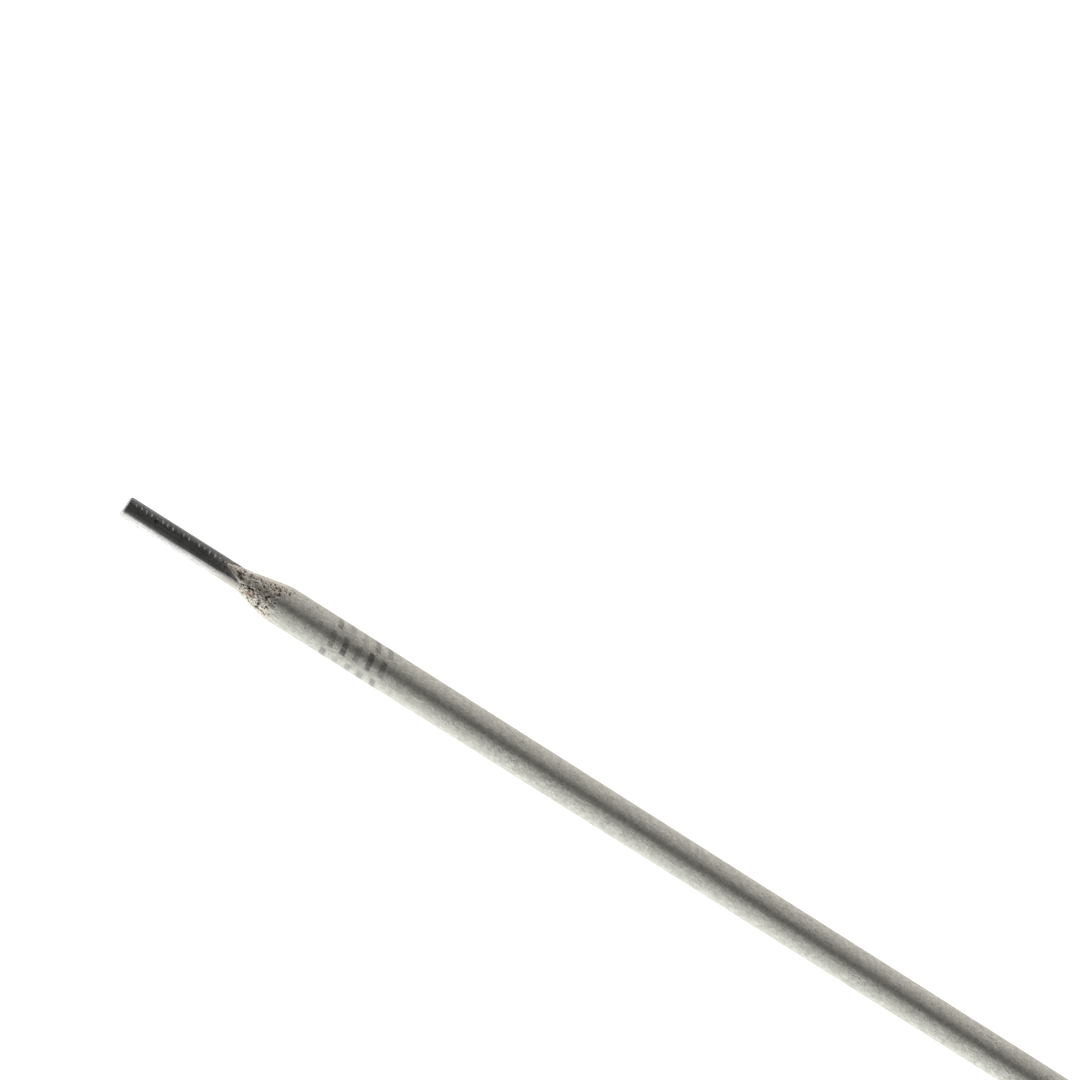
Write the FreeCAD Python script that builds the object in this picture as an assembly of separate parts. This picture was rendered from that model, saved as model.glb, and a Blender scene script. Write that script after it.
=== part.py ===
import FreeCAD, Part
import math
import os

# A stick welding electrode, lying along X. The origin is on the wire's axis, at the middle of the
# cut face at the grip end. +X runs to the striking end, +Z is up, and the full length is in mm.

# the drawn steel core wire
wire_diameter = 3.2
electrode_length = 350.0
shear_angle = 2.0          # how far the grip end's cut leans from square, in degrees
edge_break = 0.4           # the rim of the cut, rounded by the brush
neck_from = 15.95          # where the brush that bared the wire starts to polish it down
neck_width = 0.9
neck_depth = 0.03

# the marks that the feed rollers of the coating press leave along one line of the bare wire
mark_pitch = 0.88
mark_first = 1.45
mark_angle = 53.0          # round the wire from +Y towards +Z, in degrees
mark_depth = 0.032
mark_round = 0.22          # radius of the roller's tooth

# the flux coating
coating_diameter = 5.9
edge_first = 17.5          # where the flux starts on the side that starts first
edge_last = 19.7           # and on the opposite side
edge_turn = 52.0           # the side that starts first, round the wire from +Y towards +Z
edge_lip = 0.12            # thickness of the collar of flux left there
foot_far_side = 19.3       # where the taper rises from that collar on the +Y side
foot_near_side = 19.4      # and on the -Y side
full_far_side = 25.2       # where the taper reaches the full diameter
full_near_side = 24.6
shoulder_radius = 12.0     # the taper runs into the full diameter over this radius
taper_sections = 20

# the rounded striking end
nose_length = 2.7
nose_land = 0.1            # the flat ring of flux left round the wire's end

# the angular pits that grains leave as the brush tears them out of the taper
pit_tries = 400            # places tried; those that crowd a pit or reach the wire are left out
pit_depth = 0.24           # the deepest
pit_shallowest = 0.1
pit_clear = 0.05           # flux left standing between neighbouring pits

wire_radius = wire_diameter / 2
coating_radius = coating_diameter / 2
turn = math.radians(137.50776)


def point(x, y=0.0, z=0.0):
    return FreeCAD.Vector(x, y, z)


def revolved(edges):
    """A solid of revolution about X, from a closed outline drawn on the XY plane."""
    return Part.Face(Part.Wire(edges)).revolve(point(0), point(1), 360)


def lines(points):
    """Straight edges through the points, in order."""
    return [Part.makeLine(a, b) for a, b in zip(points, points[1:])]


def bare_wire():
    """The whole wire with the shallow neck that the brush leaves beside the flux."""
    r = wire_radius
    start = -wire_diameter
    neck_to = neck_from + neck_width
    neck = Part.Arc(
        point(neck_from, r),
        point(neck_from + neck_width / 2, r - neck_depth),
        point(neck_to, r),
    )
    outline = lines([point(start, 0), point(start, r), point(neck_from, r)])
    outline.append(neck.toShape())
    outline += lines([point(neck_to, r), point(electrode_length, r), point(electrode_length, 0), point(start, 0)])
    return revolved(outline)


def sheared_end(wire):
    """Cuts the grip end on a slant, the -Y side longest, and rounds the rim of the cut."""
    lean = math.radians(shear_angle)
    size = 4 * wire_diameter
    waste = Part.makeBox(size, 2 * size, 2 * size, point(-size, -size, -size))
    waste.rotate(point(0), point(0, 0, 1), -shear_angle)
    wire = wire.cut(waste)
    rim = [
        edge
        for edge in wire.Edges
        if edge.CenterOfMass.x < neck_from / 2 and abs(edge.Length - rim_length(lean)) < 0.05 * wire_radius
    ]
    return wire.makeFillet(edge_break, rim)


def rim_length(lean):
    """The length round the slanted cut, an ellipse."""
    a = wire_radius / math.cos(lean)
    b = wire_radius
    h = ((a - b) / (a + b)) ** 2
    return math.pi * (a + b) * (1 + 3 * h / (10 + math.sqrt(4 - 3 * h)))


def roller_marks():
    """A row of small rounded dents across the bare wire, fading towards the flux."""
    angle = math.radians(mark_angle)
    outward = point(0, math.cos(angle), math.sin(angle))
    across = point(0, -math.sin(angle), math.cos(angle))
    count = 1 + int((neck_from - mark_first - mark_round) / mark_pitch)
    teeth = []
    for i in range(count):
        away = wire_radius + mark_round - mark_depth * (1 - 0.6 * i / count)
        start = outward * away - across * wire_radius + point(mark_first + i * mark_pitch)
        teeth.append(Part.makeCylinder(mark_round, wire_diameter, start, across))
    return Part.makeCompound(teeth)


def core_wire():
    wire = sheared_end(bare_wire())
    return wire.cut(roller_marks())


def nose_outline(start):
    """The coating's outer half section from a start on: a straight side, then a convex nose."""
    drop = coating_radius - wire_radius - nose_land
    radius = (nose_length ** 2 + drop ** 2) / (2 * drop)
    centre_y = coating_radius - radius
    shoulder = electrode_length - nose_length
    half = math.asin(nose_length / radius) / 2
    middle = point(shoulder + radius * math.sin(half), centre_y + radius * math.cos(half))
    tip = point(electrode_length, wire_radius + nose_land)
    arc = Part.Arc(point(shoulder, coating_radius), middle, tip)
    outline = lines([point(start, 0), point(start, coating_radius), point(shoulder, coating_radius)])
    outline.append(arc.toShape())
    outline += lines([tip, point(electrode_length, 0), point(start, 0)])
    return outline


def side_shape(foot, full):
    """One side of the taper: its slope, its shoulder's radius, and where the shoulder begins and ends."""
    slope = math.atan2(coating_radius - wire_radius - edge_lip, full - foot)
    reach = min(shoulder_radius * math.tan(slope / 2), (full - foot) / 2)
    return slope, reach / math.tan(slope / 2), full - reach * math.cos(slope), full + reach


def side_height(x, foot, full):
    """How far that side stands from the rod's axis at x: a straight slope and a rounded shoulder."""
    slope, radius, begins, ends = side_shape(foot, full)
    if x >= ends:
        return coating_radius
    if x > begins:
        return coating_radius - radius + math.sqrt(radius ** 2 - (ends - x) ** 2)
    return max(wire_radius + edge_lip + (x - foot) * math.tan(slope), wire_radius / 2)


def taper_section(x):
    """The round section of the taper at x: how far its middle lies towards +Y, and its radius."""
    far = side_height(x, foot_far_side, full_far_side)
    near = side_height(x, foot_near_side, full_near_side)
    return (far - near) / 2, (far + near) / 2


def taper_span():
    """Where the lofted taper starts, sunk in the collar, and where both shoulders have ended."""
    ends = [side_shape(foot_far_side, full_far_side)[3], side_shape(foot_near_side, full_near_side)[3]]
    return min(foot_far_side, foot_near_side) - 2 * edge_lip, max(ends)


def taper_blank():
    """The brushed taper, a loft of round sections that grow faster on one side than on the other."""
    start, end = taper_span()
    wires = []
    for i in range(taper_sections + 1):
        x = start + (end - start) * i / taper_sections
        middle, radius = taper_section(x)
        wires.append(Part.Wire(Part.makeCircle(radius, point(x, middle), point(1))))
    return Part.makeLoft(wires, True)


def taper_surface(x, angle):
    """How far the taper's surface lies from the rod's axis, at an angle round it."""
    middle, radius = taper_section(x)
    return middle * math.cos(angle) + math.sqrt(radius ** 2 - (middle * math.sin(angle)) ** 2)


def collar():
    """The thin flux that the brush left on the wire in front of the taper."""
    start = edge_first - wire_diameter
    return Part.makeCylinder(wire_radius + edge_lip, taper_span()[1] - start, point(start), point(1))


def slanted_start(blank):
    """Ends the flux on a slanted edge, which starts first on one side of the wire."""
    slant = math.degrees(math.atan2(edge_last - edge_first, wire_diameter))
    middle = (edge_first + edge_last) / 2
    size = 8 * coating_diameter
    waste = Part.makeBox(size, 2 * size, 2 * size, point(middle - size, -size, -size))
    waste.rotate(point(middle), point(0, 0, 1), slant)
    waste.rotate(point(middle), point(1), edge_turn)
    return blank.cut(waste)


def taper_reach(angle):
    """Where the flux starts on the wire, and where the taper ends, at an angle round the rod."""
    swing = math.cos(angle - math.radians(edge_turn))
    start = (edge_first + edge_last) / 2 - swing * (edge_last - edge_first) / 2
    end = (full_far_side + full_near_side) / 2 + math.cos(angle) * (full_far_side - full_near_side) / 2
    return start, end


def torn_grain(x, angle, deep, surface, spin):
    """An angular grain with one corner sunk into the taper."""
    side = 2.6 * deep + pit_clear
    outward = point(0, math.cos(angle), math.sin(angle))
    grain = Part.makeBox(side, side, side)
    grain.rotate(point(0), point(1, 1, 1), spin)
    turned = FreeCAD.Rotation(point(1, 1, 1), outward)
    grain.Placement = FreeCAD.Placement(outward * (surface - deep) + point(x), turned).multiply(grain.Placement)
    return grain


def brush_pits():
    """Angular pits over the taper, spread by the golden angle, each clear of the others."""
    grains = []
    places = []
    for i in range(pit_tries):
        angle = i * turn
        start, end = taper_reach(angle)
        share = (i * 0.7548777) % 1.0
        x = start + share * (end - start)
        deep = pit_shallowest + (pit_depth - pit_shallowest) * ((i * 0.5698403) % 1.0) ** 2
        surface = taper_surface(x, angle)
        if surface - wire_radius < 1.5 * deep or x - start < 3 * deep:
            continue
        spot = point(x, surface * math.cos(angle), surface * math.sin(angle))
        if any(spot.distanceToPoint(p) < 1.6 * (deep + d) + pit_clear for p, d in places):
            continue
        places.append((spot, deep))
        grains.append(torn_grain(x, angle, deep, surface, 360 * ((i * 0.4142136) % 1.0)))
    return grains


def flux_coating():
    rod = revolved(nose_outline(taper_span()[1]))
    blank = slanted_start(rod.fuse([taper_blank(), collar()]).removeSplitter())
    bore = Part.makeCylinder(wire_radius, 2 * electrode_length, point(-edge_first), point(1))
    return blank.cut(bore).cut(brush_pits())


def saved(shape, node):
    solid = shape.Solids[0]
    solid.exportStep("parts/" + node + ".step")
    print(node, len(shape.Solids), "solid", round(solid.Volume, 2), "mm3", solid.isValid())


os.makedirs("parts", exist_ok=True)
saved(core_wire(), "core_wire")
saved(flux_coating(), "flux_coating")
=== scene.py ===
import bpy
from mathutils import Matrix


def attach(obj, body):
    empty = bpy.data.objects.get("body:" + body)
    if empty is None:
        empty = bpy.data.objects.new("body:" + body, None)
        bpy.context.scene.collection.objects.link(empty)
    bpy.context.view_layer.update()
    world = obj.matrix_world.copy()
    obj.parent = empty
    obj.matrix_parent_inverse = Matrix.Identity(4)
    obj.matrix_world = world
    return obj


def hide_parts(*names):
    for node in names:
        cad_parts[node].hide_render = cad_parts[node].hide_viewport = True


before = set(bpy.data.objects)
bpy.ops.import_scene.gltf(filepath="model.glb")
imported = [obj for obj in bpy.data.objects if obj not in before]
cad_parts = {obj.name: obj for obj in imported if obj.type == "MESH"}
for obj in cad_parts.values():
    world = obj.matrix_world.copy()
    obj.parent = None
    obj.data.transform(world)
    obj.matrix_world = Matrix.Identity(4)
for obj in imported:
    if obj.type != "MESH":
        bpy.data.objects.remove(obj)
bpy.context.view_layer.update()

import math

import bpy
import numpy as np
from mathutils import Matrix, Vector, noise

mm = 0.001
noise.seed_set(8)          # the same grains every time

# sizes shared by the wire and the flux, in millimetres, as in the CAD
rod = {
    "length": 350.0,
    "wireRadius": 1.6,
    "fluxRadius": 2.95,
    "lip": 0.12,           # the collar of flux in front of the taper
    "footFar": 19.3,       # +Y side: where the taper rises from the collar
    "footNear": 19.4,      # -Y side
    "fullFar": 25.2,       # where the taper has reached the full diameter
    "fullNear": 24.6,
    "shoulderRadius": 12.0,
    "noseLength": 2.7,
    "noseLand": 0.1,
}


def smoothStep(low, high, x):
    t = min(max((x - low) / (high - low), 0.0), 1.0)
    return t * t * (3 - 2 * t)


def added(name, data):
    made = bpy.data.objects.new(name, data)
    bpy.context.scene.collection.objects.link(made)
    return made


def skinRings(name, rings, loop=False, caps=(None, None)):
    # joins rings of points into one skin; a ring may have a whole number of times the next one's points
    verts, starts = [], []
    for ring in rings:
        starts.append(len(verts))
        verts.extend(ring)
    faces = []
    pairs = list(zip(range(len(rings)), range(1, len(rings))))
    if loop:
        pairs.append((len(rings) - 1, 0))
    for i, j in pairs:
        m, n = len(rings[i]), len(rings[j])
        a, b = starts[i], starts[j]
        if m == n:
            faces.extend((a + k, a + (k + 1) % m, b + (k + 1) % n, b + k) for k in range(m))
        elif m > n:
            step = m // n
            for k in range(n):
                fine = [a + (k * step + q) % m for q in range(step + 1)]
                half = step // 2
                faces.extend((fine[q], fine[q + 1], b + k) for q in range(half))
                faces.append((fine[half], b + (k + 1) % n, b + k))
                faces.extend((fine[q], fine[q + 1], b + (k + 1) % n) for q in range(half, step))
        else:
            step = n // m
            for k in range(m):
                fine = [b + (k * step + q) % n for q in range(step + 1)]
                half = step // 2
                faces.extend((fine[q + 1], fine[q], a + k) for q in range(half))
                faces.append((fine[half], a + k, a + (k + 1) % m))
                faces.extend((fine[q + 1], fine[q], a + (k + 1) % m) for q in range(half, step))
    for centre, i, turn in ((caps[0], 0, True), (caps[1], -1, False)):
        if centre is None:
            continue
        first, count = starts[i], len(rings[i])
        verts.append(centre)
        hub = len(verts) - 1
        for k in range(count):
            edge = (first + k, first + (k + 1) % count)
            faces.append((hub, edge[1], edge[0]) if turn else (hub, edge[0], edge[1]))
    mesh = bpy.data.meshes.new(name)
    mesh.from_pydata([(x * mm, y * mm, z * mm) for x, y, z in verts], [], faces)
    mesh.polygons.foreach_set("use_smooth", [True] * len(mesh.polygons))
    mesh.update()
    return added(name, mesh)


def paint(piece, name, values):
    # keeps one number for each point, which the piece's material reads
    kept = piece.data.attributes.new(name, "FLOAT", "POINT")
    kept.data.foreach_set("value", np.array(values, np.float32))


wireLooks = {
    "columns": 112,
    "step": 0.055,
    "shearAngle": 2.0,
    "rimRound": 0.4,
    "markPitch": 0.84,
    "markFirst": 1.26,
    "markCount": 18,
    "markAngle": 53.0,     # degrees from +Y towards +Z
    "markDepth": 0.04,
    "markLength": 0.17,
    "markWidth": 0.42,
    "neckFrom": 15.95,
    "neckWidth": 0.9,
    "neckDepth": 0.03,
    "nickAt": 4.8,
    "nickAngle": 70.0,
    "nickDepth": 0.03,
    "bareTo": 20.0,        # the wire is modelled to here, inside the flux, and skipped up to its far end
}


def rollerMark(x, angle):
    # how deep the wire is marked here, from 0 to 1
    look = wireLooks
    i = round((x - look["markFirst"]) / look["markPitch"])
    if i < 0 or i >= look["markCount"]:
        return 0.0
    jitter = noise.noise((i * 3.7, 1.3, 0))
    pressed = min(max(0.75 + 1.6 * noise.noise((i * 5.3 + 0.4, 4.1, 2.2)), 0.5), 1.3)
    side = math.radians(look["markAngle"] + 4 * noise.noise((i * 2.1, 7.7, 0))) - angle
    side = ((side + math.pi) % (2 * math.pi) - math.pi) * rod["wireRadius"]
    along = x - look["markFirst"] - i * look["markPitch"] - 0.08 * jitter + 0.25 * side
    inside = 1 - (along / look["markLength"]) ** 2 - (side / look["markWidth"]) ** 2
    return max(0.0, inside) * (1 - 0.3 * i / look["markCount"]) * pressed


def nick(x, angle):
    # a small dent with a dark crescent round it, the crescent being painted shade for the dark that the dent reflects:
    # its height, that painted shade and the dust on its raised rim
    look = wireLooks
    along, across = x - look["nickAt"], (angle - math.radians(look["nickAngle"])) * rod["wireRadius"]
    away = math.hypot(along, across * 1.4)
    if away > 1.0:
        return 0.0, 0.0, 0.0
    rim = math.exp(-((away - 0.42) / 0.08) ** 2) * smoothStep(-0.3, 0.2, along - 0.5 * across)
    crescent = math.exp(-((away - 0.30) / 0.13) ** 2) * smoothStep(0.45, -0.15, along)
    return 0.015 * rim - look["nickDepth"] * math.exp(-(away / 0.22) ** 2), crescent, rim


def wireDust(x, y, z, angle, mark):
    # flux dust: packed in the dents, and a thinning film on the wire beside the taper
    edge = fluxStart(angle)
    p = Vector((x, y, z))
    grain = noise.fractal(p * 2.6, 0.9, 2.1, 4)
    upper = smoothStep(10, 45, math.degrees(angle)) * smoothStep(150, 95, math.degrees(angle))
    film = smoothStep(edge - 7.0, edge + 2.0, x + 1.5 * grain) * (0.35 + 0.65 * upper)
    speck = smoothStep(0.10, 0.45, noise.noise(p * 6.5)) * smoothStep(edge - 9, edge, x) * (0.3 + 0.7 * upper)
    side = smoothStep(100, 140, math.degrees(angle)) * smoothStep(265, 225, math.degrees(angle))
    veil = side * smoothStep(7.5, 18.5, x + 0.8 * grain)    # thin and even, on the -Y side
    return min(1.0, 0.6 * smoothStep(0.0, 0.6, mark) + 0.5 * film ** 2 + 0.55 * speck + 0.62 * veil)


def buildWire():
    look = wireLooks
    radius = rod["wireRadius"]
    count = look["columns"]
    lean = math.tan(math.radians(look["shearAngle"]))
    angles = [2 * math.pi * k / count for k in range(count)]
    rings, dust, dentShade = [], [], {}

    # the sheared end: concentric rings, torn on the +Y half, with a rounded rim
    for share in (0.12, 0.25, 0.38, 0.5, 0.62, 0.74, 0.84, 0.92):
        ring = []
        for a in angles:
            r = share * (radius - look["rimRound"])
            y, z = r * math.cos(a), r * math.sin(a)
            torn = 0.05 * smoothStep(-0.6, 1.2, y) * noise.fractal(Vector((y, z, 4.2)) * 3.5, 0.8, 2.2, 4)
            ring.append((lean * y + torn, y, z))
            dust.append(0.12)
        rings.append(ring)
    for part in range(7):
        turn = part / 6 * math.pi / 2
        ring = []
        for a in angles:
            rim = look["rimRound"]
            rolled = rim * (0.9 + 0.3 * smoothStep(-0.2, -1.0, math.cos(a)))    # rolled over on the -Y side
            r = radius - rim + rim * math.sin(turn)
            y, z = r * math.cos(a), r * math.sin(a)
            bent = noise.noise((2.6 * math.cos(a), 2.6 * math.sin(a), 0.4))
            burr = smoothStep(0.35, 1.0, math.cos(a)) * (0.5 + 0.8 * bent)
            x = lean * y + rolled * (1 - math.cos(turn)) - 0.06 * burr * math.sin(turn)
            ring.append((x, y, z))
            dust.append(0.35 * max(burr, 0))
        rings.append(ring)

    # the bare length, marked by the feed rollers and brushed to a shallow neck
    x = 0.06
    while x < look["bareTo"]:
        ring = []
        for a in angles:
            base = x + (lean * radius * math.cos(a) + look["rimRound"] * 1.2) * max(0.0, 1 - x / 3)
            mark = rollerMark(base, a)
            neck = (base - look["neckFrom"] - look["neckWidth"] / 2) / (look["neckWidth"] / 2)
            polish = look["neckDepth"] * max(0.0, 1 - neck * neck)
            dent, crescent, rim = nick(base, a)
            r = radius - look["markDepth"] * mark - polish + dent
            r += 0.0025 * noise.noise((base * 0.35, 3 * math.cos(a), 3 * math.sin(a)))
            y, z = r * math.cos(a), r * math.sin(a)
            ring.append((base, y, z))
            # the crescent is painted shade: the dark the dent reflects, painted into the wire's colour
            if crescent > 0.01:
                dentShade[len(dust)] = crescent
            dust.append(wireDust(base, y, z, a, mark) + 0.35 * rim)
        rings.append(ring)
        x += look["step"] if x < 16 else 0.12

    # the far end, sheared square and left rough, shows inside the nose of flux
    end = rod["length"]
    for x, r in ((end - 0.7, radius), (end, radius), (end, 0.97 * radius)):
        rings.append([(x, r * math.cos(a), r * math.sin(a)) for a in angles])
        dust += [0.1] * count
    for share in (0.85, 0.7, 0.55, 0.4, 0.25, 0.12):
        ring = []
        for a in angles:
            y, z = share * radius * math.cos(a), share * radius * math.sin(a)
            torn = 0.05 * noise.fractal(Vector((y, z, 9.1)) * 2.4, 0.8, 2.2, 4)
            ring.append((end - 0.03 + min(torn, 0.03), y, z))
            dust.append(0.15)
        rings.append(ring)
    dust += [0.1, 0.1]
    made = skinRings("core_wire_drawn", rings, caps=((0.0, 0.0, 0.0), (end - 0.02, 0.0, 0.0)))
    paint(made, "dust", dust)
    paint(made, "dentShade", [dentShade.get(i, 0.0) for i in range(len(dust))])
    return made


fluxLooks = {
    "fineColumns": 320,
    "columns": 160,
    "step": 0.055,
    "bodyStep": 4.0,
    "crumbDepth": 0.18,    # depth of the pits that torn grains leave
    "waviness": 0.012,
    "sleeveFrom": 14.7,    # the flux's skin starts here, sunk in the wire
    "taperTo": 26.9,
    "bodyFrom": 27.4,
    "noseRings": 34,
    "edge": 18.6,          # where the flux starts, on average
    "edgeSwing": 0.7,      # how much sooner it does on the +Y side
    "tongue": 2.6,         # and how much sooner again on its tongue, at this angle from +Y towards +Z
    "tongueAngle": 64.0,
    "tongueWidth": 28.0,
    "tornTo": 24.2,        # where the brush stopped tearing
}


def sideHeight(x, foot, full):
    lipRadius = rod["wireRadius"] + rod["lip"]
    slope = math.atan2(rod["fluxRadius"] - lipRadius, full - foot)
    reach = rod["shoulderRadius"] * math.tan(slope / 2)
    begins, ends = full - reach * math.cos(slope), full + reach
    if x >= ends:
        return rod["fluxRadius"]
    if x > begins:
        bend = rod["shoulderRadius"]
        return rod["fluxRadius"] - bend + math.sqrt(bend ** 2 - (ends - x) ** 2)
    return lipRadius + (x - foot) * math.tan(slope)


def taperRadius(x, angle):
    far = sideHeight(x, rod["footFar"], rod["fullFar"])
    near = sideHeight(x, rod["footNear"], rod["fullNear"])
    middle, radius = (far - near) / 2, (far + near) / 2
    return middle * math.cos(angle) + math.sqrt(radius ** 2 - (middle * math.sin(angle)) ** 2)


def fluxStart(angle):
    # where the flux starts: first on the side between +Y and the top, last on the -Y side
    look = fluxLooks
    turned = (math.degrees(angle) % 360 - look["tongueAngle"]) / look["tongueWidth"]
    return look["edge"] - look["edgeSwing"] * math.cos(angle) - look["tongue"] * math.exp(-(turned ** 2))


def rawness(x, angle, p):
    # how torn the flux is by the brush, from 0 on the smooth skin to 1, and how pale the smooth strip towards +Y is
    # painted
    swing = math.cos(angle)
    turned = (math.degrees(angle) + 160) % 360 - 160
    ends = fluxLooks["tornTo"] + 0.4 * swing * swing + 1.9 * math.exp(-(((turned - 44) / 14) ** 2))
    ragged = 0.7 * noise.noise(p * 0.9) + 0.5 * noise.noise(p * 2.3)
    torn = 1 - smoothStep(ends - 0.3, ends + 0.3, x + ragged)
    smooth = smoothStep(-25, -8, turned) * smoothStep(43, 29, turned + 14 * noise.noise(p * 1.3))
    return torn * (1 - 0.75 * smooth), torn * smooth


def tornShape(n):
    # a light ridge where the noise is nought, a grain on one side of it and a pit on the other
    return 1 - 1.3 * n if n > 0 else max(1 + 3.2 * n, -0.6)


def crumble(p):
    # torn grains, the pits between them and sharp little ridges
    warped = p + 0.2 * noise.noise_vector(p * 1.9)
    coarse = tornShape(noise.noise(warped * 2.2) + 0.04)
    middle = tornShape(noise.noise(warped * 4.2 + Vector((5, 1, 3))) + 0.06)
    hole = smoothStep(0.18, 0.38, noise.noise(warped * 1.8 + Vector((3.1, 0.2, 8.8))))
    fine = noise.noise(warped * 8.5)
    return 0.55 * coarse + 0.5 * middle + 0.3 * fine - 0.7 * hole - 0.60


def buildFlux():
    look = fluxLooks
    rings, raw, crumb, pale = [], [], [], []
    radius, wire, length = rod["fluxRadius"], rod["wireRadius"], rod["length"]
    fine = [2 * math.pi * k / look["fineColumns"] for k in range(look["fineColumns"])]
    plain = [2 * math.pi * k / look["columns"] for k in range(look["columns"])]

    # the brushed taper
    x = look["sleeveFrom"]
    while x < look["taperTo"]:
        ring = []
        for a in fine:
            p = Vector((x, wire * math.cos(a), wire * math.sin(a)))
            past = x - fluxStart(a) + 0.5 * noise.noise(p * 1.1) + 0.35 * noise.noise(p * 2.7)
            skin = rod["lip"] * smoothStep(-0.3, 1.6, past) - 0.10 * smoothStep(0.35, -0.5, past)
            r = max(wire + skin, taperRadius(x, a))
            p = Vector((x, r * math.cos(a), r * math.sin(a)))
            torn, paleStrip = rawness(x, a, p)
            lumps = crumble(p) if torn > 0 else 0.0
            thin = smoothStep(-0.05, 0.45, r - wire)       # the flux is thin here, so the pits are shallow
            h = torn * look["crumbDepth"] * lumps * (0.3 + 0.7 * thin)
            h += look["waviness"] * noise.noise(p * 0.4)
            keep = r + h
            if x < look["sleeveFrom"] + 0.5:
                keep = min(keep, wire - 0.05)
            ring.append((x, keep * math.cos(a), keep * math.sin(a)))
            raw.append(torn)
            # the lumps' height, which also sets the colour: painted shade in the pits, painted highlight on the ridges
            crumb.append(0.5 + 0.5 * lumps)
            pale.append(paleStrip)
        rings.append(ring)
        x += look["step"]

    # the long straight length, a little uneven as it left the press
    x = look["bodyFrom"]
    while x < length - rod["noseLength"] - 1:
        ring = []
        for a in plain:
            r = radius + look["waviness"] * (noise.noise((x * 0.05, 1.5 * math.cos(a), 1.5 * math.sin(a))) - 0.3)
            ring.append((x, r * math.cos(a), r * math.sin(a)))
            raw.append(0.0)
            crumb.append(0.5)
        rings.append(ring)
        x += look["bodyStep"]

    # the nose, ground to a round at the striking end
    drop = radius - wire - rod["noseLand"]
    bend = (rod["noseLength"] ** 2 + drop ** 2) / (2 * drop)
    steps = look["noseRings"]
    for i in range(steps + 1):
        x = length - rod["noseLength"] * (1 - i / steps)
        base = radius - bend + math.sqrt(bend ** 2 - (x - length + rod["noseLength"]) ** 2)
        ring = []
        for a in plain:
            p = Vector((x, base * math.cos(a), base * math.sin(a)))
            rough = smoothStep(0.1, 0.9, i / steps)
            lumps = crumble(p * 1.3)
            h = rough * 0.035 * (lumps - 0.15)
            r = min(base + h, base)
            ring.append((x, r * math.cos(a), r * math.sin(a)))
            raw.append(0.55 * rough)
            # the same painted shade in the pits and painted highlight on the ridges at the nose
            crumb.append(0.62 + 0.3 * lumps)
        rings.append(ring)
    for x, r in ((length, wire + 0.03), (length - 0.05, wire - 0.02)):
        rings.append([(x, r * math.cos(a), r * math.sin(a)) for a in plain])
        raw += [0.5] * len(plain)
        crumb += [0.6] * len(plain)
    made = skinRings("flux_coating_baked", rings, loop=True)
    paint(made, "raw", raw)
    paint(made, "crumb", crumb)
    paint(made, "pale", pale + [0.0] * (len(raw) - len(pale)))
    return made


def place(tree, kind, plugs=None, **settings):
    made = tree.nodes.new(kind)
    for key, value in settings.items():
        setattr(made, key, value)
    for key, value in (plugs or {}).items():
        if isinstance(value, bpy.types.NodeSocket):
            tree.links.new(value, made.inputs[key])
        else:
            made.inputs[key].default_value = value
    return made


def compute(tree, operation, a, b=0.0, clamp=False):
    return place(tree, "ShaderNodeMath", {0: a, 1: b}, operation=operation, use_clamp=clamp).outputs[0]


def cloud(tree, where, scale, detail, roughness=0.5):
    plugs = {"Vector": where, "Scale": scale, "Detail": detail, "Roughness": roughness}
    return place(tree, "ShaderNodeTexNoise", plugs).outputs[0]


def painted(tree, name):
    return place(tree, "ShaderNodeAttribute", attribute_name=name).outputs["Fac"]


def rescale(tree, value, fromLow, fromHigh, toLow=0.0, toHigh=1.0):
    plugs = {"Value": value, "From Min": fromLow, "From Max": fromHigh, "To Min": toLow, "To Max": toHigh}
    return place(tree, "ShaderNodeMapRange", plugs, interpolation_type="SMOOTHSTEP").outputs["Result"]


def blendColour(tree, factor, a, b, kind="MIX"):
    made = tree.nodes.new("ShaderNodeMix")
    made.data_type = "RGBA"
    made.blend_type = kind
    for slot, value in ((0, factor), (6, a), (7, b)):
        if isinstance(value, bpy.types.NodeSocket):
            tree.links.new(value, made.inputs[slot])
        else:
            made.inputs[slot].default_value = value if slot == 0 else (*value[:3], 1.0)
    return made.outputs[2]


def newGroup(name, inputs, outputs):
    tree = bpy.data.node_groups.new(name, "ShaderNodeTree")
    for label, kind, value in inputs:
        socket = tree.interface.new_socket(name=label, in_out="INPUT", socket_type=kind)
        if value is not None:
            socket.default_value = value
    for label, kind in outputs:
        tree.interface.new_socket(name=label, in_out="OUTPUT", socket_type=kind)
    return tree, tree.nodes.new("NodeGroupInput").outputs, tree.nodes.new("NodeGroupOutput").inputs


def inMillimetres(tree):
    where = tree.nodes.new("ShaderNodeTexCoord").outputs["Object"]
    return place(tree, "ShaderNodeVectorMath", {0: where, 3: 1000.0}, operation="SCALE").outputs["Vector"]


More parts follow.
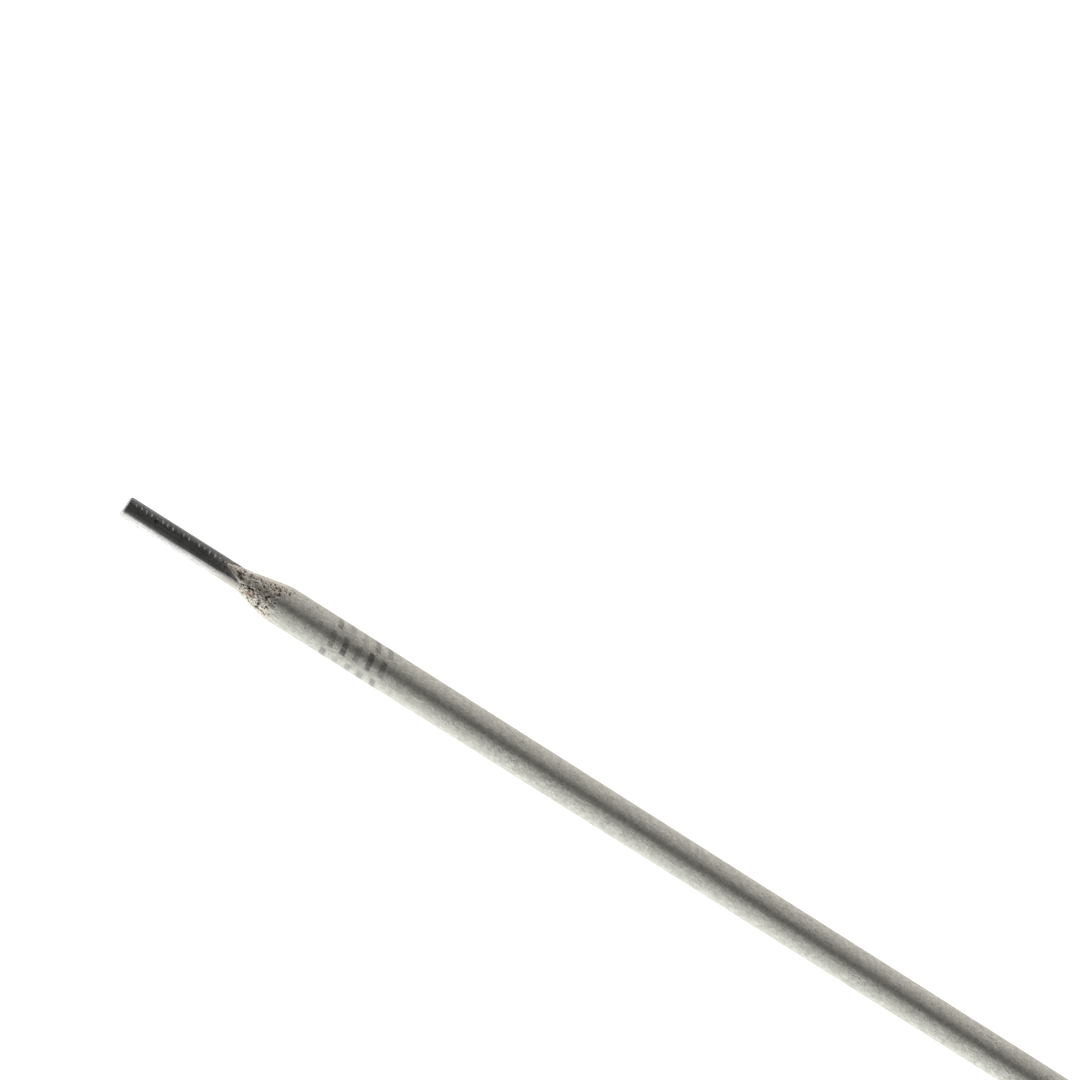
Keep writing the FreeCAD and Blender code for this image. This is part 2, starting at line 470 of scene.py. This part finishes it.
def makeSandyGrain():
    # mineral grains seen close up: soft blotches, fine grain, and a few dark and light specks
    tree, given, out = newGroup(
        "sandyGrain",
        [
            ("Place", "NodeSocketVector", None),
            ("Blotch size", "NodeSocketFloat", 0.8),
            ("Grain size", "NodeSocketFloat", 0.2),
            ("Speck share", "NodeSocketFloat", 0.1),
        ],
        [
            ("Tone", "NodeSocketFloat"),
            ("Dark specks", "NodeSocketFloat"),
            ("Light flecks", "NodeSocketFloat"),
            ("Height", "NodeSocketFloat"),
        ],
    )
    where = given["Place"]
    blotchScale = compute(tree, "DIVIDE", 1.0, given["Blotch size"])
    grainScale = compute(tree, "DIVIDE", 1.0, given["Grain size"])
    blotch = cloud(tree, where, blotchScale, 3.0, 0.6)
    grain = cloud(tree, where, grainScale, 4.0, 0.65)
    tone = compute(tree, "ADD", compute(tree, "MULTIPLY", blotch, 0.25), compute(tree, "MULTIPLY", grain, 0.75))
    tree.links.new(tone, out["Tone"])
    for label, size, cut in (("Dark specks", 1.15, 0.16), ("Light flecks", 1.7, 0.14)):
        cells = place(tree, "ShaderNodeTexVoronoi", {"Vector": where, "Scale": size, "Randomness": 1.0})
        lot = place(tree, "ShaderNodeSeparateColor", {0: cells.outputs["Color"]}).outputs[0]
        chosen = compute(tree, "LESS_THAN", lot, given["Speck share"])
        dot = rescale(tree, cells.outputs["Distance"], cut, cut * 0.4)
        tree.links.new(compute(tree, "MULTIPLY", dot, chosen), out[label])
    height = compute(tree, "ADD", compute(tree, "MULTIPLY", grain, 0.7), compute(tree, "MULTIPLY", blotch, 0.3))
    tree.links.new(height, out["Height"])
    return tree


def makeInkBars():
    # worn ink bars in rows along the rod, repeated round it, much of the ink rubbed off
    tree, given, out = newGroup(
        "inkBars",
        [
            ("Place", "NodeSocketVector", None),
            ("First", "NodeSocketFloat", 32.6),
            ("Pitch", "NodeSocketFloat", 2.08),
            ("Bars", "NodeSocketFloat", 5.0),
            ("Wear", "NodeSocketFloat", 0.47),
        ],
        [("Ink", "NodeSocketFloat")],
    )
    spot = place(tree, "ShaderNodeSeparateXYZ", {0: given["Place"]}).outputs
    along = compute(tree, "DIVIDE", compute(tree, "SUBTRACT", spot["X"], given["First"]), given["Pitch"])
    bar = compute(tree, "FLOOR", along)
    across = compute(tree, "SUBTRACT", compute(tree, "FRACT", along), 0.5)
    begun = compute(tree, "GREATER_THAN", along, 0.0)
    inside = compute(tree, "MULTIPLY", begun, compute(tree, "LESS_THAN", along, given["Bars"]))
    turned = compute(tree, "ADD", compute(tree, "ARCTAN2", spot["Y"], spot["Z"]), math.radians(4.5))
    turns = compute(tree, "DIVIDE", turned, math.radians(62.0))
    row = compute(tree, "FLOOR", compute(tree, "ADD", turns, 0.5))
    up = compute(tree, "SUBTRACT", turns, row)
    # each bar has its own height and strength
    key = place(tree, "ShaderNodeCombineXYZ", {0: bar, 1: row, 2: 0.37})
    chance = place(tree, "ShaderNodeTexWhiteNoise", {"Vector": key.outputs[0]}, noise_dimensions="3D").outputs
    tall = compute(tree, "ADD", 0.35, compute(tree, "MULTIPLY", chance["Value"], 0.06))
    leaning = compute(tree, "ADD", across, compute(tree, "MULTIPLY", up, 0.3))
    thick = rescale(tree, compute(tree, "ABSOLUTE", leaning), 0.25, 0.17)
    high = rescale(tree, compute(tree, "SUBTRACT", compute(tree, "ABSOLUTE", up), tall), 0.03, -0.03)
    lots = place(tree, "ShaderNodeSeparateColor", {0: chance["Color"]}).outputs
    strength = rescale(tree, lots[0], 0.0, 1.0, 0.45, 1.0)
    slope = compute(tree, "MULTIPLY", compute(tree, "SUBTRACT", lots[1], 0.5), 2.6)
    fading = compute(tree, "ADD", 0.8, compute(tree, "MULTIPLY", slope, up), clamp=True)
    specks = cloud(tree, given["Place"], 9.0, 2.0, 0.6)
    rubbed = rescale(tree, compute(tree, "SUBTRACT", specks, given["Wear"]), -0.12, 0.12, 0.35, 1.0)
    left = compute(tree, "MULTIPLY", compute(tree, "MULTIPLY", strength, fading), rubbed)
    main = rescale(tree, compute(tree, "ABSOLUTE", row), 1.0, 0.0, 0.75, 1.0)
    ink = compute(tree, "MULTIPLY", compute(tree, "MULTIPLY", thick, high), compute(tree, "MULTIPLY", left, inside))
    tree.links.new(compute(tree, "MULTIPLY", ink, main, clamp=True), out["Ink"])
    return tree


def newMaterial(name):
    made = bpy.data.materials.new(name)
    made.use_nodes = True
    tree = made.node_tree
    shader = tree.nodes["Principled BSDF"]
    return made, tree, shader


fluxFinish = {
    "dark": (0.30, 0.292, 0.262),
    "light": (0.78, 0.76, 0.688),
    "speck": (0.10, 0.09, 0.08),
    "fleck": (0.80, 0.79, 0.74),
    "ink": (0.085, 0.085, 0.085),
    "pale": (0.86, 0.80, 0.72),
    # pit: the torn flux's own dark, deepened as painted shade in the hollows; ridge: a painted highlight on the torn
    # ridges
    "pit": (0.085, 0.068, 0.056),
    "torn": (0.54, 0.49, 0.43),
    "ridgeHighlight": (0.69, 0.635, 0.56),
    "rust": (0.55, 0.24, 0.13),
    "stainAt": (20.5, -1.05, 1.7),
    "roughness": 0.86,
    "grain": {"Blotch size": 0.75, "Grain size": 0.11, "Speck share": 0.16},
    "bars": {"First": 32.6, "Pitch": 2.08, "Bars": 5.0, "Wear": 0.47},
}


def bakedFlux(sandyGrain, inkBars):
    look = fluxFinish
    made, tree, shader = newMaterial("bakedFlux")
    where = inMillimetres(tree)
    grain = place(tree, "ShaderNodeGroup", {"Place": where, **look["grain"]}, node_tree=sandyGrain)
    bars = place(tree, "ShaderNodeGroup", {"Place": where, **look["bars"]}, node_tree=inkBars)

    skin = blendColour(tree, rescale(tree, grain.outputs["Tone"], 0.31, 0.69), look["dark"], look["light"])
    pale = painted(tree, "pale")
    # paler along the smooth strip towards +Y
    skin = blendColour(tree, compute(tree, "MULTIPLY", pale, 0.5), skin, look["pale"])
    skin = blendColour(tree, grain.outputs["Dark specks"], skin, look["speck"])
    skin = blendColour(tree, grain.outputs["Light flecks"], skin, look["fleck"])
    skin = blendColour(tree, bars.outputs["Ink"], skin, look["ink"])

    crumb = painted(tree, "crumb")
    raw = painted(tree, "raw")
    finer = cloud(tree, where, 5.5, 3.0, 0.65)
    level = compute(tree, "ADD", crumb, compute(tree, "MULTIPLY", compute(tree, "SUBTRACT", finer, 0.5), 1.1))
    # dark in the pits, partly the flux's own dark and partly painted shade, and lighter on the ridges as a painted
    # highlight
    torn = blendColour(tree, rescale(tree, level, 0.04, 0.40), look["pit"], look["torn"])
    torn = blendColour(tree, rescale(tree, level, 0.41, 0.68), torn, look["ridgeHighlight"])
    patches = cloud(tree, where, 0.5, 1.0)
    torn = blendColour(tree, rescale(tree, patches, 0.70, 0.76, 0.0, 0.35), torn, look["rust"])
    away = place(tree, "ShaderNodeVectorMath", {0: where, 1: look["stainAt"]}, operation="DISTANCE").outputs["Value"]
    torn = blendColour(tree, rescale(tree, away, 0.45, 0.15, 0.0, 0.6), torn, look["rust"])
    tree.links.new(blendColour(tree, raw, skin, torn), shader.inputs["Base Color"])

    fineBump = cloud(tree, where, 9.0, 3.0, 0.7)
    relief = cloud(tree, where, 2.6, 4.0, 0.72)
    uneven = compute(tree, "SUBTRACT", 3.6, compute(tree, "MULTIPLY", raw, 2.6))    # most on the smooth skin
    sandy = compute(tree, "MULTIPLY", grain.outputs["Height"], 0.6)
    height = compute(tree, "ADD", compute(tree, "MULTIPLY", relief, uneven), sandy)
    height = compute(tree, "ADD", height, compute(tree, "MULTIPLY", fineBump, compute(tree, "MULTIPLY", raw, 0.5)))
    bump = place(tree, "ShaderNodeBump", {"Strength": 1.0, "Distance": 0.00009, "Height": height})
    tree.links.new(bump.outputs[0], shader.inputs["Normal"])
    shader.inputs["Roughness"].default_value = look["roughness"]
    shader.inputs["Specular IOR Level"].default_value = 0.25
    return made


wireFinish = {
    "steel": (0.66, 0.66, 0.645),
    "dull": (0.36, 0.36, 0.35),
    "dust": (0.42, 0.38, 0.33),
    # the colour of the painted shade round the nick
    "dentShade": (0.04, 0.04, 0.04),
    "grain": {"Blotch size": 1.6, "Grain size": 0.25},
}


def drawnSteel(sandyGrain):
    look = wireFinish
    made, tree, shader = newMaterial("drawnSteel")
    where = inMillimetres(tree)
    stretched = place(tree, "ShaderNodeVectorMath", {0: where, 1: (0.10, 9.0, 9.0)}, operation="MULTIPLY").outputs[0]
    lines = cloud(tree, stretched, 1.0, 4.0, 0.6)
    grain = place(tree, "ShaderNodeGroup", {"Place": where, **look["grain"]}, node_tree=sandyGrain)
    dust = painted(tree, "dust")
    broken = compute(tree, "MULTIPLY", compute(tree, "SUBTRACT", grain.outputs["Height"], 0.5), 0.6)
    dusty = rescale(tree, compute(tree, "ADD", dust, broken), 0.25, 0.85)
    dusty = compute(tree, "MULTIPLY", dusty, 0.9)
    metal = blendColour(tree, rescale(tree, lines, 0.35, 0.7), look["dull"], look["steel"])
    mottling = rescale(tree, grain.outputs["Tone"], 0.36, 0.64, 0.74, 1.16)
    metal = place(tree, "ShaderNodeVectorMath", {0: metal, 3: mottling}, operation="SCALE").outputs["Vector"]
    # painted shade round the nick, darkening the metal's colour
    dentShade = painted(tree, "dentShade")
    metal = blendColour(tree, compute(tree, "MULTIPLY", dentShade, 0.95), metal, look["dentShade"])
    tree.links.new(blendColour(tree, dusty, metal, look["dust"]), shader.inputs["Base Color"])
    tree.links.new(compute(tree, "SUBTRACT", 1.0, dusty), shader.inputs["Metallic"])
    rough = compute(tree, "ADD", 0.24, compute(tree, "MULTIPLY", lines, 0.12))
    tree.links.new(compute(tree, "ADD", rough, compute(tree, "MULTIPLY", dusty, 0.45)), shader.inputs["Roughness"])
    powder = compute(tree, "MULTIPLY", grain.outputs["Height"], compute(tree, "MULTIPLY", dusty, 1.5))
    height = compute(tree, "ADD", compute(tree, "MULTIPLY", lines, 0.5), powder)
    bump = place(tree, "ShaderNodeBump", {"Strength": 0.25, "Distance": 0.00003, "Height": height})
    tree.links.new(bump.outputs[0], shader.inputs["Normal"])
    return made


studio = {
    "lens": 62.0,
    "over": 0.6,           # where the camera stands over the rod, and how far away, in millimetres
    "away": 261.7,
    "ahead": 364.6,        # how far the picture's middle lies past the bare end, and beside the axis, in picture points
    "beside": 193.0,
    "focal": 1860.0,
    "alongRight": 0.8456,  # the rod's direction in the picture
    "alongDown": 0.5342,
    "nearSide": 18.2,      # the panels' strength
    "farSide": 11.8,
    "top": 3.4,
    "air": 0.075,
    "floor": 1.0,
}


def aimCamera():
    look = studio
    beta = math.atan2(look["beside"], look["focal"])
    phi = math.atan2(look["ahead"], math.hypot(look["beside"], look["focal"]))
    along = Vector((math.cos(phi), 0, math.sin(phi)))
    inward = Vector((math.sin(phi), 0, -math.cos(phi)))
    forward = math.cos(beta) * inward + math.sin(beta) * Vector((0, 1, 0))
    beside = -math.sin(beta) * inward + math.cos(beta) * Vector((0, 1, 0))
    right = look["alongRight"] * along + look["alongDown"] * beside
    up = -look["alongDown"] * along + look["alongRight"] * beside
    camera = added("camera", bpy.data.cameras.new("camera"))
    turn = Matrix((right, up, -forward)).transposed()
    camera.matrix_world = Matrix.Translation(Vector((look["over"], 0, look["away"])) * mm) @ turn.to_4x4()
    camera.data.sensor_width = 36.0
    camera.data.lens = look["lens"]
    camera.data.clip_start = 0.01
    bpy.context.scene.camera = camera


def card(name, y, bottom, top, fadeFrom, strength, turned=0):
    # a tall glowing card, fading towards its top, which only bright metal shows
    mesh = bpy.data.meshes.new(name)
    mesh.from_pydata([(-2, y, top), (2.5, y, top), (2.5, y, bottom), (-2, y, bottom)], [], [(0, 1, 2, 3)])
    made = added(name, mesh)
    glow, tree, shader = newMaterial(name + "Glow")
    tree.nodes.remove(shader)
    where = tree.nodes.new("ShaderNodeTexCoord").outputs["Object"]
    high = place(tree, "ShaderNodeSeparateXYZ", {0: where}).outputs["Z"]
    plugs = {"Value": high, "From Min": top, "From Max": fadeFrom, "To Min": 0.0, "To Max": strength}
    fade = place(tree, "ShaderNodeMapRange", plugs)
    light = place(tree, "ShaderNodeEmission", {"Color": (1.0, 1.0, 1.0, 1.0), "Strength": fade.outputs["Result"]})
    tree.links.new(light.outputs[0], tree.nodes["Material Output"].inputs["Surface"])
    mesh.materials.append(glow)
    made.rotation_euler.z = -math.radians(turned)
    glow.cycles.emission_sampling = "NONE"
    for ray in ("camera", "diffuse", "shadow", "transmission"):
        setattr(made, "visible_" + ray, False)


def panel(name, stand, target, width, height, power, colour):
    light = bpy.data.lights.new(name, "AREA")
    light.shape = "RECTANGLE"
    light.size, light.size_y = width, height
    light.energy = power
    light.color = colour
    made = added(name, light)
    made.location = stand
    made.rotation_mode = "QUATERNION"
    made.rotation_quaternion = (Vector(target) - Vector(stand)).to_track_quat("-Z", "Y")
    made.visible_glossy = False


def buildStudio():
    look = studio
    floorMesh = bpy.data.meshes.new("studio_floor")
    w = 6.0
    z = -rod["fluxRadius"] * mm - 0.00002
    floorMesh.from_pydata([(-w, -w, z), (w, -w, z), (w, w, z), (-w, w, z)], [], [(0, 1, 2, 3)])
    floor = added("studio_floor", floorMesh)
    pale, tree, shader = newMaterial("paleFloor")
    shader.inputs["Base Color"].default_value = (0.82, 0.82, 0.81, 1)
    shader.inputs["Roughness"].default_value = 0.9
    shader.inputs["Specular IOR Level"].default_value = 0.0
    shader.inputs["Emission Color"].default_value = (1, 1, 1, 1)
    shader.inputs["Emission Strength"].default_value = look["floor"]
    floorMesh.materials.append(pale)
    for ray in ("glossy", "diffuse", "shadow"):
        setattr(floor, "visible_" + ray, False)

    # long panels stand level with the rod, so its sides are bright and its middle is dark
    panel("near_panel", (0.17, -0.75, -0.04), (0.17, 0, 0), 1.8, 0.2, look["nearSide"], (0.97, 1.0, 1.0))
    panel("far_panel", (0.17, 0.75, -0.13), (0.17, 0, 0), 1.8, 0.2, look["farSide"], (1.0, 0.985, 0.97))
    panel("top_panel", (0.17, 0.2, 1.2), (0.17, 0, 0), 1.2, 1.2, look["top"], (1.0, 0.99, 0.98))
    # what the bright wire shows: a tall white card on the -Y side, little on the other
    card("near_card", -0.6, -2.5, 0.6, 0.0, 1.9)
    card("far_card", 0.6, -2.5, 0.5, -0.7, 0.55)
    card("end_card", -0.8, -2.5, 1.0, 0.2, 1.4, 90)

    world = bpy.data.worlds.new("studioAir")
    world.use_nodes = True
    bpy.context.scene.world = world
    tree = world.node_tree
    seen = tree.nodes.new("ShaderNodeLightPath").outputs["Is Camera Ray"]
    back = tree.nodes["Background"]
    back.inputs["Color"].default_value = (1, 1, 1, 1)
    strength = place(tree, "ShaderNodeMapRange", {"Value": seen, "To Min": look["air"], "To Max": 1.0})
    tree.links.new(strength.outputs["Result"], back.inputs["Strength"])
    bpy.context.scene.view_settings.view_transform = "Standard"


aimCamera()
print("camera aimed")
buildStudio()
print("studio lit")

sandyGrain = makeSandyGrain()
inkBars = makeInkBars()

wire = buildWire()
wire.data.materials.append(drawnSteel(sandyGrain))
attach(wire, "root")
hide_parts("core_wire")
print("wire drawn:", len(wire.data.polygons), "faces")

flux = buildFlux()
flux.data.materials.append(bakedFlux(sandyGrain, inkBars))
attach(flux, "root")
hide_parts("flux_coating")
print("flux baked:", len(flux.data.polygons), "faces")
